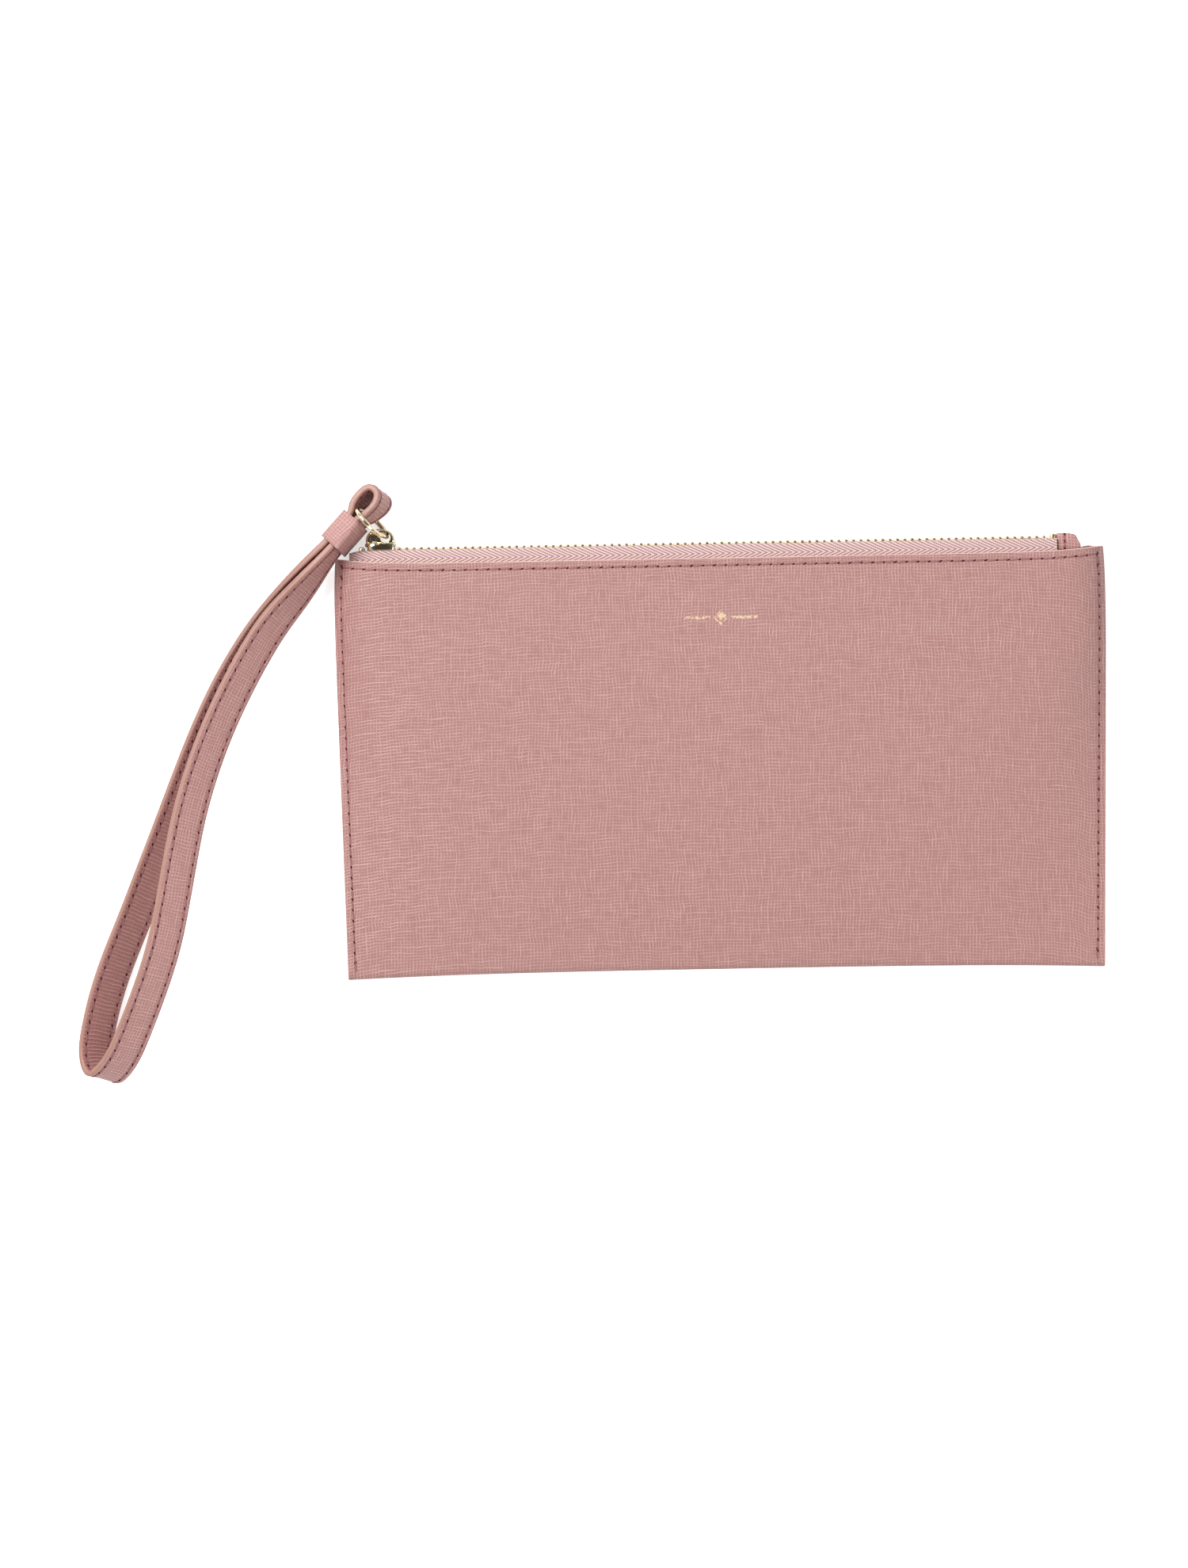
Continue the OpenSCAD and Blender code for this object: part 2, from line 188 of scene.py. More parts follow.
def half_width(y):
    up = max(0.0, (y - fold_y) / pouch_h)
    return between(207.4, 212.2, up) / 2 - 0.8 * up**12


def fold_edge(s):
    return fold_y + 1.2 * (1 - abs(s) ** 3.3)


def top_edge(s):
    return top_y + 1.8 * abs(s) ** 12


def puff(s, h):
    """Height of the front panel, s from side to side and h from the fold up."""
    across = 1 - abs(s) ** between(5, 30, h**3)
    share = (fold_t - side_t) / (full_t - side_t)
    along = share + (1 - share) * (1 - (1 - h) ** 3.2)
    return side_t + (full_t - side_t) * across * along


def front_z(s, y):
    foot = fold_edge(s) + puff(s, 0) / 2
    return puff(s, min(1.0, max(0.0, (y - foot) / (top_edge(s) - foot))))


def ripple(x, y):
    """Slight unevenness of the leather, calm round the stamped mark."""
    calm = min(1.0, math.hypot(x / 22, (y - 39.6) / 9) ** 2 * 0.5)
    wide = noise.noise(Vector((x / 38, y / 30, 3.1)))
    small = noise.noise(Vector((x / 13, y / 15, 7.7)))
    return 0.16 * (wide + 0.4 * small) * calm


def spaced(near_edge, length, step):
    """Distances from an edge: the given ones close to it, then even steps up to length."""
    count = max(1, round((length - near_edge[-1]) / step))
    return near_edge + [
        between(near_edge[-1], length, (i + 1) / count) for i in range(count)
    ]


seam_rows = [0, 0.2, 0.5, 1.0, 1.5, 1.8, 2.1, 2.4, 2.7, 3.2, 4.0, 5.2]
sheet_half = 106.0
corner_lift = 0.9
corner_x = 101.6


def rolled_sheet(name, drop, side_gap, cell):
    """A grid rolled round the fold. drop is how far its top edges lie below the leather's."""
    side_steps = spaced(seam_rows, sheet_half - side_gap, cell)
    side = [1 - (d + side_gap) / sheet_half for d in side_steps]
    across = [-s for s in side] + side[-2::-1]
    down = spaced([d + drop for d in seam_rows], pouch_h - side_t / 2, cell)
    panel = [1 - d / down[-1] for d in down]
    turns = 10
    bpy.ops.object.select_all(action="DESELECT")
    columns, rows = len(across) - 1, 2 * (len(panel) - 1) + turns
    bpy.ops.mesh.primitive_grid_add(x_subdivisions=columns, y_subdivisions=rows, size=2)
    piece = bpy.context.active_object
    piece.name = name
    mesh = piece.data
    lengths = {}
    places = [[0] * (rows + 1) for _ in range(columns + 1)]
    for v in mesh.vertices:
        places[round((v.co.x + 1) / 2 * columns)][round((v.co.y + 1) / 2 * rows)] = v.index
    for i, s in enumerate(across):
        foot = fold_edge(s) + puff(s, 0) / 2
        r = puff(s, 0) / 2
        run, last = 0.0, None
        for j in range(rows + 1):
            if j < len(panel):
                y, z = between(foot, top_edge(s), panel[j]), 0.0
                aside = (s * sheet_half - corner_x) / 2.4
                y += corner_lift * math.exp(-(aside**2)) * panel[j] ** 9
            elif j < len(panel) + turns - 1:
                a = math.radians(-90 - 180 * (j - len(panel) + 1) / turns)
                y, z = foot + r * math.cos(a), r + r * math.sin(a)
            else:
                h = panel[rows - j]
                y = between(foot, top_edge(s), h)
                edge_calm = min(1.0, (1 - abs(s)) * 12) * min(1.0, (1 - h) * 14)
                z = front_z(s, y) + ripple(s * half_width(y), y) * edge_calm
            x = s * half_width(y)
            if last is not None:
                run += math.dist(last, (y, z))
            last = (y, z)
            v = places[i][j]
            mesh.vertices[v].co = (x * mm, y * mm, z * mm)
            lengths[v] = (x * mm, run * mm)
    flat = mesh.uv_layers.active or mesh.uv_layers.new(name="UVMap")
    for corner in mesh.loops:
        flat.data[corner.index].uv = lengths[corner.vertex_index]
    mesh.update()
    return piece


def press_seams(piece):
    """Presses the sewn lines into the sheet, where the thread pulls it down."""
    mesh = piece.data
    moves = []
    for v in mesh.vertices:
        x, y = v.co.x / mm, v.co.y / mm
        half = half_width(y)
        s = max(-1.0, min(1.0, x / half))
        from_side = half - abs(x) - seam_in
        from_top = top_edge(s) - y - seam_in
        depth = 0.0
        if y > fold_y + 3:
            depth = max(depth, 0.14 * math.exp(-((from_side / 0.5) ** 2)))
        if abs(x) < half - seam_in:
            depth = max(depth, 0.12 * math.exp(-((from_top / 0.5) ** 2)))
        moves.append(v.normal * (-depth * mm))
    for v, move in zip(mesh.vertices, moves):
        v.co += move
    mesh.update()


def apply(piece, kind, **settings):
    """Adds a modifier with these settings and applies it."""
    only(piece)
    made = piece.modifiers.new(kind.lower(), kind)
    for key, value in settings.items():
        setattr(made, key, value)
    bpy.ops.object.modifier_apply(modifier=made.name)


def smooth(piece, degrees=40):
    only(piece)
    bpy.ops.object.shade_smooth_by_angle(angle=math.radians(degrees))


def step_vector(tree, operation, **inputs):
    """One sum, product or other step on two vectors."""
    return node(tree, "ShaderNodeVectorMath", {"operation": operation}, **inputs).outputs[0]


def wave_scale(pitch):
    """The Scale at which a Wave node's bands stand this far apart, in metres."""
    return math.pi / 10 / pitch


def cross_grain(name, base, pitch=0.00086, second=0.92, roughness=0.46, depth=0.00016):
    """Leather pressed with fine crossing lines, on the piece's own flat pattern in metres.
    second is the strength of the lines that run along the pattern's first direction."""
    material, tree, shader = paint(name, base, roughness)
    flat = node(tree, "ShaderNodeUVMap").outputs[0]
    spot = flat
    for scale, amount in ((90.0, 0.0016), (430.0, 0.0005)):
        drift = node(tree, "ShaderNodeTexNoise", Vector=flat, Scale=scale, Detail=1.0)
        away = step_vector(tree, "SUBTRACT", i0=drift.outputs[1], i1=(0.5, 0.5, 0.5))
        small = step_vector(tree, "SCALE", i0=away, Scale=amount)
        spot = step_vector(tree, "ADD", i0=spot, i1=small)
    lines = []
    for way, stretch in (("X", (1000, 210, 1)), ("Y", (170, 1000, 1))):
        wave = node(
            tree, "ShaderNodeTexWave", {"bands_direction": way},
            Vector=spot, Scale=wave_scale(pitch), Distortion=1.5, Detail=2.0,
        )
        wave.inputs["Detail Scale"].default_value = 0.35
        run = step_vector(tree, "MULTIPLY", i0=spot, i1=stretch)
        cloudy = node(tree, "ShaderNodeTexNoise", Vector=run, Scale=1.0, Detail=1.0)
        strength = calc(tree, "SUBTRACT", cloudy.outputs[0], 0.12)
        strength = calc(tree, "MULTIPLY", strength, 1.75, clamp=True)
        lines.append(calc(tree, "MULTIPLY", calc(tree, "POWER", wave.outputs[1], 2.0), strength))
    relief = calc(tree, "MAXIMUM", lines[0], calc(tree, "MULTIPLY", lines[1], second))
    wide = node(tree, "ShaderNodeTexNoise", Vector=flat, Scale=24.0, Detail=3.0).outputs[0]
    # Colour follows the pressed relief: painted shade in its low places, a painted highlight on its
    # raised lines.
    pit_shade = tuple(c * k for c, k in zip(base, (0.77, 0.68, 0.68)))
    ridge_highlight = tuple(min(1.0, c * k) for c, k in zip(base, (1.34, 1.56, 1.56)))
    toned = blend_colors(tree, calc(tree, "MULTIPLY", relief, 1.0, clamp=True), pit_shade, ridge_highlight)
    faded = tuple(min(1.0, c * 1.05) for c in base)
    worn = blend_colors(tree, calc(tree, "MULTIPLY", wide, 0.2), toned, faded)
    tree.links.new(worn, shader.inputs["Base Color"])
    rough = calc(tree, "ADD", calc(tree, "MULTIPLY", relief, -0.1), roughness + 0.05)
    tree.links.new(rough, shader.inputs["Roughness"])
    bump = node(tree, "ShaderNodeBump", Height=relief, Strength=0.75, Distance=depth)
    tree.links.new(bump.outputs[0], shader.inputs["Normal"])
    return material


def edge_paint(name, color):
    """Thick satin edge paint, slightly uneven."""
    material, tree, shader = paint(name, color, 0.42)
    spots = node(tree, "ShaderNodeTexCoord").outputs["Object"]
    uneven = node(tree, "ShaderNodeTexNoise", Vector=spots, Scale=900.0, Detail=3.0).outputs[0]
    light = tuple(min(1.0, c * 1.12) for c in color)
    dark = tuple(c * 0.88 for c in color)
    tree.links.new(blend_colors(tree, uneven, dark, light), shader.inputs["Base Color"])
    bump = node(tree, "ShaderNodeBump", Height=uneven, Strength=0.4, Distance=0.00006)
    tree.links.new(bump.outputs[0], shader.inputs["Normal"])
    return material


pouch_pink = (0.375, 0.192, 0.176)
pouch_leather = cross_grain("pouch_cross_grain", pouch_pink)
pouch_edge = edge_paint("pouch_edge_paint", (0.66, 0.44, 0.40))

leather_body = rolled_sheet("leather_panels", 0.0, 0.0, 1.7)
press_seams(leather_body)
leather_body.data.materials.append(pouch_leather)
leather_body.data.materials.append(pouch_edge)
apply(leather_body, "SOLIDIFY", thickness=leather_t * mm, offset=-1, use_even_offset=False,
      material_offset_rim=1)
apply(leather_body, "BEVEL", width=0.32 * mm, segments=3, limit_method="ANGLE",
      angle_limit=math.radians(50), material=1)
smooth(leather_body, 60)
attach(leather_body, "pouch")
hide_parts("leather_body")


# ---- lining ----
# A folded sheet of thin woven cloth inside the leather, caught in the side seams.
# Its mouth ends below the zip tapes.
lining_t = 0.25
lining_drop = 6.8
lining = rolled_sheet("lining_cloth", lining_drop, 0.8, 3.2)
lining_moves = [v.normal * (-(leather_t + 0.12) * mm) for v in lining.data.vertices]
for v, move in zip(lining.data.vertices, lining_moves):
    v.co += move
apply(lining, "SOLIDIFY", thickness=lining_t * mm, offset=-1, use_even_offset=False)


def plain_weave(name, color, pitch):
    """Cloth with a plain over-and-under weave, on the piece's own pattern in metres."""
    material, tree, shader = paint(name, color, 0.8)
    flat = node(tree, "ShaderNodeUVMap").outputs[0]
    scale = wave_scale(pitch)
    warp, weft = (
        node(tree, "ShaderNodeTexWave", {"bands_direction": way}, Vector=flat, Scale=scale)
        for way in ("X", "Y"))
    cross = calc(tree, "MULTIPLY", warp.outputs[1], weft.outputs[1])
    # Where the yarns dip the colour is darker: painted shade between them.
    dark = tuple(c * 0.7 for c in color)
    tree.links.new(blend_colors(tree, cross, dark, color), shader.inputs["Base Color"])
    bump = node(tree, "ShaderNodeBump", Height=cross, Strength=0.5, Distance=0.00008)
    tree.links.new(bump.outputs[0], shader.inputs["Normal"])
    shader.inputs["Sheen Weight"].default_value = 0.2
    return material


lining.data.materials.append(plain_weave("lining_weave", (0.46, 0.27, 0.25), 0.0004))
smooth(lining, 60)
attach(lining, "pouch")
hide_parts("lining_bag")


# ---- seams of the pouch ----
# Waxed thread, 3 mm stitches. Each stitch is a short length of thread whose ends dive
# into slanted holes. The side seams join both panels; the top seams hold the zip tapes.
stitch = 3.0


def thread_paint(name, color, twist_pitch=0.0003):
    """Twisted thread, u along a stitch and v round it, in metres."""
    material, tree, shader = paint(name, color, 0.6)
    shader.inputs["Specular IOR Level"].default_value = 0.3
    flat = node(tree, "ShaderNodeUVMap").outputs[0]
    turned = node(tree, "ShaderNodeMapping", {"vector_type": "POINT"}, Vector=flat)
    turned.inputs["Rotation"].default_value = (0, 0, math.radians(35))
    twist = node(
        tree, "ShaderNodeTexWave", {"bands_direction": "X"},
        Vector=turned.outputs[0], Scale=wave_scale(twist_pitch))
    # The twist's low places are darker: painted shade between the strands.
    dark = tuple(c * 0.65 for c in color)
    tree.links.new(blend_colors(tree, twist.outputs[1], dark, color), shader.inputs["Base Color"])
    bump = node(tree, "ShaderNodeBump", Height=twist.outputs[1], Strength=0.4, Distance=0.00005)
    tree.links.new(bump.outputs[0], shader.inputs["Normal"])
    return material


def hole_paint(name, color):
    """Shadowed leather inside a needle hole."""
    material, tree, shader = paint(name, color, 0.9)
    shader.inputs["Specular IOR Level"].default_value = 0.05
    spots = node(tree, "ShaderNodeTexCoord").outputs["Object"]
    uneven = node(tree, "ShaderNodeTexNoise", Vector=spots, Scale=1500.0).outputs[0]
    light = tuple(c * 1.5 for c in color)
    tree.links.new(blend_colors(tree, uneven, color, light), shader.inputs["Base Color"])
    return material


rose_thread = thread_paint("rose_thread", (0.34, 0.145, 0.142))
needle_hole_shade = hole_paint("needle_hole_shade", (0.06, 0.008, 0.014))
thread_half = 0.2
hole_lift = 0.03
stitch_rings = [
    (-1, -0.32, 0.6), (-0.86, -0.08, 0.9), (-0.55, 0.05, 1), (0, 0.09, 1),
    (0.55, 0.05, 1), (0.86, -0.08, 0.9), (1, -0.32, 0.6)]


def sewn_row(name, rows, pitch=stitch):
    """Stitches along one or more lines. A line is (place, start, count), and place(d) gives
    the point, the way along, the way across and the way out of the leather at distance d."""
    made = bmesh.new()
    flat = made.loops.layers.uv.new("UVMap")
    for place, start, count in rows:
        for i in range(count):
            centre = start + (i + 0.5) * pitch
            sway = 0.05 * math.sin(i * 2.4)
            loops = []
            for t, lift, thick in stitch_rings:
                point, along, across, out = place(centre + t * (pitch / 2 - 0.12))
                middle = point + across * (0.13 * t + sway) + out * lift
                ring = []
                for k in range(6):
                    a = math.radians(60 * k + 30)
                    ring.append(made.verts.new(
                        (middle + across * (thread_half * thick * math.cos(a))
                         + out * (thread_half * 0.8 * thick * math.sin(a))) * mm))
                loops.append(ring)
            for n, (a, b) in enumerate(zip(loops, loops[1:])):
                for k in range(6):
                    face = made.faces.new((a[k], b[k], b[(k + 1) % 6], a[(k + 1) % 6]))
                    square = ((n, k), (n + 1, k), (n + 1, k + 1), (n, k + 1))
                    for corner, (u, v) in zip(face.loops, square):
                        corner[flat].uv = (u * pitch / 6 * mm, v * 0.2 * mm)
            made.faces.new(loops[0])
            made.faces.new(loops[-1][::-1])
        # Each needle hole is a near-black puck set just over and into the leather: painted shade
        # standing for the hole.
        for i in range(count + 1):
            point, along, across, out = place(start + i * pitch)
            slant = along + across * (0.3 + 0.12 * math.sin(i * 1.7))
            long_half = 0.47 + 0.07 * math.sin(i * 3.1)
            edge = []
            for k in range(10):
                a = math.radians(36 * k)
                rim = point + slant * (long_half * math.cos(a)) + across * (0.26 * math.sin(a))
                edge.append(made.verts.new((rim + out * hole_lift) * mm))
            under = [made.verts.new(v.co - out * (0.12 * mm)) for v in edge]
            top = made.faces.new(edge)
            base = made.faces.new(under[::-1])
            top.material_index = base.material_index = 1
            for k in range(10):
                wall = made.faces.new((edge[k], under[k], under[(k + 1) % 10], edge[(k + 1) % 10]))
                wall.material_index = 1
    bmesh.ops.recalc_face_normals(made, faces=made.faces)
    mesh = bpy.data.meshes.new(name)
    made.to_mesh(mesh)
    made.free()
    piece = bpy.data.objects.new(name, mesh)
    bpy.context.scene.collection.objects.link(piece)
    mesh.materials.append(rose_thread)
    mesh.materials.append(needle_hole_shade)
    smooth(piece, 45)
    return piece


def surface_frame(point_at, d, out_sign):
    """Place on a line over a panel: the point, and the ways along, across and out."""
    before, here, after = (Vector(point_at(d + step)) for step in (-0.4, 0, 0.4))
    along = (after - before).normalized()
    out = Vector((0, 0, out_sign))
    across = out.cross(along).normalized()
    out = along.cross(across).normalized()
    return here, along, across, out


seam_sink = 0.09


def side_line(side, front, aside=0.0):
    """The side seam on one face of the pouch, measured from the fold up; aside shifts the
    doubled stitches that lock its ends."""
    def point_at(d):
        y = fold_y + 1.5 + d
        half = half_width(y)
        s = 1 - (seam_in + aside) / half
        z = front_z(s, y) - seam_sink if front else seam_sink
        return (side * s * half, y, z)
    return lambda d: surface_frame(point_at, d, 1 if front else -1)


top_reach = 103.2


def top_line(front):
    """The top seam on one panel, measured from the left side seam to the right one."""
    def point_at(d):
        x = -top_reach + d
        s = x / half_width(top_y)
        y = top_edge(s) - seam_in
        z = front_z(s, y) - seam_sink if front else seam_sink
        return (x, y, z)
    return lambda d: surface_frame(point_at, d, 1 if front else -1)


side_pitch = 2.94
top_count = 67
for side, name in ((-1, "left"), (1, "right")):
    faces = (True, False)
    long_rows = [(side_line(side, front), 0, 38) for front in faces]
    locks = [(side_line(side, front, 0.3), start, 1) for front in faces for start in (0.5, 108.2)]
    seam = sewn_row("side_seam_" + name, long_rows + locks, side_pitch)
    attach(seam, "pouch")
    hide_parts("side_seam_thread_" + name)
for front, name in ((True, "front"), (False, "back")):
    row = (top_line(front), 0, top_count)
    seam = sewn_row("top_seam_" + name, [row], 2 * top_reach / top_count)
    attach(seam, "pouch")
    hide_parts("top_seam_thread_" + name)


# ---- zip tapes ----
# Two woven tapes, 0.5 mm thick with herringbone ribs. Each is sewn inside a panel's top
# edge and turns in to the chain, where its edge carries the teeth.
tape_t = 0.5
chain_y = 59.4
chain_z = 4.7
tape_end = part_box("zip_tape_front")[0].x / mm
tape_left = tape_end - 2.0
tape_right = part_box("zip_tape_front")[1].x / mm
tape_foot = 50.3
cloth_gap = 0.1


def zip_tape(name, side):
    columns = 96
    tip = chain_z + side * 0.9
    rows = 15
    bpy.ops.object.select_all(action="DESELECT")
    bpy.ops.mesh.primitive_grid_add(x_subdivisions=columns, y_subdivisions=rows, size=2)
    piece = bpy.context.active_object
    piece.name = name
    mesh = piece.data
    patterns = {}
    for v in mesh.vertices:
        i = round((v.co.x + 1) / 2 * columns)
        j = round((v.co.y + 1) / 2 * rows)
        x = between(tape_left, tape_right, i / columns)
        s = x / half_width(top_y)
        wall = front_z(s, tape_foot) - leather_t - cloth_gap if side > 0 else leather_t + cloth_gap
        middle = wall - side * tape_t / 2
        bend = 0.55
        high = chain_y - bend
        if j <= 7:
            y, z = between(tape_foot, high, j / 7), middle
            run = y
        elif j <= 11:
            a = math.radians(90 * (j - 7) / 4)
            y, z = high + bend * math.sin(a), middle - side * bend * (1 - math.cos(a))
            run = high + bend * a
        else:
            inner = middle - side * bend
            y, z = chain_y, between(inner, tip, (j - 11) / 4)
            run = high + bend * math.pi / 2 + abs(z - inner)
        y += 0.05 * math.sin(x * 0.21) * (j / rows) - (0.2 * j / rows if side < 0 else 0)
        turned_in = min(1.0, max(0.0, (tape_end + 0.3 - x) / 1.0))
        y -= 1.5 * turned_in**2 * (3 - 2 * turned_in) * (j / rows) ** 3
        v.co = (x * mm, y * mm, z * mm)
        patterns[v.index] = (x * mm, run * mm)
    flat = mesh.uv_layers.active or mesh.uv_layers.new(name="UVMap")
    for corner in mesh.loops:
        flat.data[corner.index].uv = patterns[corner.vertex_index]
    mesh.update()
    apply(piece, "SOLIDIFY", thickness=tape_t * mm, offset=0)
    only(piece)
    bpy.ops.object.mode_set(mode="EDIT")
    bpy.ops.mesh.select_all(action="SELECT")
    bpy.ops.mesh.normals_make_consistent(inside=False)
    bpy.ops.object.mode_set(mode="OBJECT")
    smooth(piece, 50)
    return piece


rib_pitch = 0.00074
yarn_pitch = 0.00052


def herringbone(name, color, split):
    """Ribs that slant one way above a line and the other way below it."""
    material, tree, shader = paint(name, color, 0.7)
    flat = node(tree, "ShaderNodeUVMap").outputs[0]
    parts = node(tree, "ShaderNodeSeparateXYZ", i0=flat)
    u, v = parts.outputs[0], parts.outputs[1]
    fold = calc(tree, "ABSOLUTE", calc(tree, "SUBTRACT", v, split))
    phase = calc(tree, "ADD", fold, calc(tree, "MULTIPLY", u, 0.445))
    rib = calc(tree, "SINE", calc(tree, "MULTIPLY", phase, 2 * math.pi / rib_pitch))
    yarn = calc(tree, "SINE", calc(tree, "MULTIPLY", u, 2 * math.pi / yarn_pitch))
    rib = calc(tree, "ADD", calc(tree, "MULTIPLY", rib, 0.5), 0.5)
    yarn = calc(tree, "ADD", calc(tree, "MULTIPLY", yarn, 0.5), 0.5)
    yarn = calc(tree, "ADD", calc(tree, "MULTIPLY", yarn, 0.25), 0.75)
    relief = calc(tree, "MULTIPLY", calc(tree, "POWER", rib, 0.7), yarn)
    # The colour follows the ribs' relief, far darker between them: painted shade in the grooves.
    dark = tuple(c * k for c, k in zip(color, (0.34, 0.19, 0.21)))
    tree.links.new(blend_colors(tree, relief, dark, color), shader.inputs["Base Color"])
    bump = node(tree, "ShaderNodeBump", Height=relief, Strength=0.7, Distance=0.00012)
    tree.links.new(bump.outputs[0], shader.inputs["Normal"])
    shader.inputs["Sheen Weight"].default_value = 0.25
    return material


tape_weave = herringbone("tape_herringbone", (0.73, 0.56, 0.53), 57.1 * mm)
for side, name in ((1, "front"), (-1, "back")):
    tape = zip_tape("zip_tape_" + name + "_woven", side)
    tape.data.materials.append(tape_weave)
    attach(tape, "pouch")
    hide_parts("zip_tape_" + name)


# ---- zip teeth and stops ----
# Light gold brass teeth at 2 mm pitch, clamped over the tapes' edges and meshed in the
# middle, with bent stops at both ends of the chain.


def plated(name, color, roughness):
    """Polished plating with faint smears."""
    material, tree, shader = paint(name, color, roughness, 1.0)
    spots = node(tree, "ShaderNodeTexCoord").outputs["Object"]
    smear = node(tree, "ShaderNodeTexNoise", Vector=spots, Scale=450.0, Detail=3.0).outputs[0]
    rough = calc(tree, "ADD", calc(tree, "MULTIPLY", smear, 0.14), roughness - 0.06)
    tree.links.new(rough, shader.inputs["Roughness"])
    warm = tuple(c * k for c, k in zip(color, (0.97, 0.93, 0.85)))
    tree.links.new(blend_colors(tree, smear, warm, color), shader.inputs["Base Color"])
    bump = node(tree, "ShaderNodeBump", Height=smear, Strength=0.15, Distance=0.00005)
    tree.links.new(bump.outputs[0], shader.inputs["Normal"])
    return material


tooth_metal = plated("tooth_metal", (0.90, 0.74, 0.48), 0.24)
slider_metal = plated("slider_plating", (0.93, 0.82, 0.60), 0.13)
tooth_count = 91
tooth_pitch = 2


def block(name, low, high, rounding, segments=2):
    """A block between two corners, in millimetres, with rounded edges."""
    bpy.ops.object.select_all(action="DESELECT")
    bpy.ops.mesh.primitive_cube_add(size=1)
    piece = bpy.context.active_object
    piece.name = name
    for v in piece.data.vertices:
        v.co = [between(a, b, c + 0.5) * mm for a, b, c in zip(low, high, v.co)]
    apply(piece, "BEVEL", width=rounding * mm, segments=segments, limit_method="ANGLE")
    return piece


def joined(name, pieces):
    """Joins blocks into one piece."""
    bpy.ops.object.select_all(action="DESELECT")
    for piece in pieces:
        piece.select_set(True)
    bpy.context.view_layer.objects.active = pieces[0]
    if len(pieces) > 1:
        bpy.ops.object.join()
    pieces[0].name = name
    return pieces[0]


def tooth_row(name, side):
    """One tooth made once, then copied along the tape."""
    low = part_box("zip_teeth_" + name)[0]
    clamp_z = chain_z + 0.45 if side > 0 else chain_z - 1.75
    head_z = chain_z - 0.85 if side > 0 else chain_z - 0.45
    clamp = block("clamp", (0, -1.1, clamp_z), (0.95, 1.1, clamp_z + 1.3), 0.22, 1)
    head = block("head", (0.02, -0.8, head_z), (0.93, 0.8, head_z + 1.3), 0.2, 1)
    tooth = joined("tooth", [clamp, head])
    for v in tooth.data.vertices:
        outer = (v.co.z / mm - chain_z) * side / 1.75
        v.co.y *= 1 - 0.15 * max(0.0, outer) ** 4
        if side < 0:
            v.co.y = v.co.y * 0.9 - 0.15 * mm
    row = bmesh.new()
    for i in range(tooth_count):
        part = tooth.data.copy()
        uneven = 0.04 * math.sin(i * 2.9) * mm
        part.transform(Matrix.Translation((low.x + i * tooth_pitch * mm, chain_y * mm + uneven, 0)))
        row.from_mesh(part)
        bpy.data.meshes.remove(part)
    bpy.data.objects.remove(tooth)
    mesh = bpy.data.meshes.new("teeth_" + name)
    row.to_mesh(mesh)
    row.free()
    piece = bpy.data.objects.new("teeth_" + name, mesh)
    bpy.context.scene.collection.objects.link(piece)
    mesh.materials.append(tooth_metal)
    smooth(piece, 35)
    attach(piece, "pouch")
    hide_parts("zip_teeth_" + name)


tooth_row("front", 1)
tooth_row("back", -1)

top_low, top_high = (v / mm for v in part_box("zip_top_stops"))
stop_depth = 1.6
stops = joined("zip_top_stops_bent", [
    block("stop", (top_low.x, top_low.y, z), (top_high.x, top_high.y, z + stop_depth), 0.4, 3)
    for z in (top_low.z, top_high.z - stop_depth)])
low, high = (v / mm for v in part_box("zip_bottom_stop"))
bottom_stop = block("zip_bottom_stop_bent", low, high, 0.45, 3)
for piece, node_name in ((stops, "zip_top_stops"), (bottom_stop, "zip_bottom_stop")):
    piece.data.materials.append(tooth_metal)
    smooth(piece, 40)
    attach(piece, "pouch")
    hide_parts(node_name)


# ---- end tab ----
# A scrap of the same leather folded over the right end of the zip, five-sided, held by
# one short line of stitches.


def plate(name, outline, low, high, axis, rounding, segments=3):
    """An outline given depth along Z or Y, in millimetres, with rounded edges."""
    bpy.ops.object.select_all(action="DESELECT")
    bpy.ops.mesh.primitive_circle_add(vertices=len(outline), radius=1, fill_type="NGON")
    piece = bpy.context.active_object
    piece.name = name
    for v, (a, b) in zip(piece.data.vertices, outline):
        v.co = (a * mm, b * mm, low * mm) if axis == "Z" else (a * mm, low * mm, b * mm)
    bpy.ops.object.mode_set(mode="EDIT")
    bpy.ops.mesh.select_all(action="SELECT")
    move = (0, 0, (high - low) * mm) if axis == "Z" else (0, (high - low) * mm, 0)
    bpy.ops.mesh.extrude_region_move(TRANSFORM_OT_translate={"value": move})
    bpy.ops.mesh.select_all(action="SELECT")
    bpy.ops.mesh.normals_make_consistent(inside=False)
    bpy.ops.object.mode_set(mode="OBJECT")
    if rounding:
        apply(piece, "BEVEL", width=rounding * mm, segments=segments, limit_method="ANGLE",
              angle_limit=math.radians(25))
    return piece


def flat_pattern(piece):
    """Gives a small piece a flat pattern seen from above, in metres."""
    mesh = piece.data
    pattern = mesh.uv_layers.active or mesh.uv_layers.new(name="UVMap")
    for corner in mesh.loops:
        co = mesh.vertices[corner.vertex_index].co
        pattern.data[corner.index].uv = (co.x + co.z * 0.5, co.y + co.z * 0.5)


strap_leather = cross_grain("strap_cross_grain", (0.43, 0.221, 0.203), 0.00088)
strap_edge = edge_paint("strap_edge_paint", (0.345, 0.178, 0.138))
tab_low, tab_high = (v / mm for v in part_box("zip_end_tab"))
tab_outline = [
    (tab_low.x, 56.3), (98.3, 56.3), (98.7, 57.7), (97.2, 60.6), (95.2, 61.0), (tab_low.x, 61.1)]
end_tab = plate("end_tab", tab_outline, tab_low.z, tab_high.z, "Z", 0.5, 4)
end_tab.data.materials.append(strap_leather)
flat_pattern(end_tab)
smooth(end_tab, 60)
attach(end_tab, "pouch")
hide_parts("zip_end_tab")


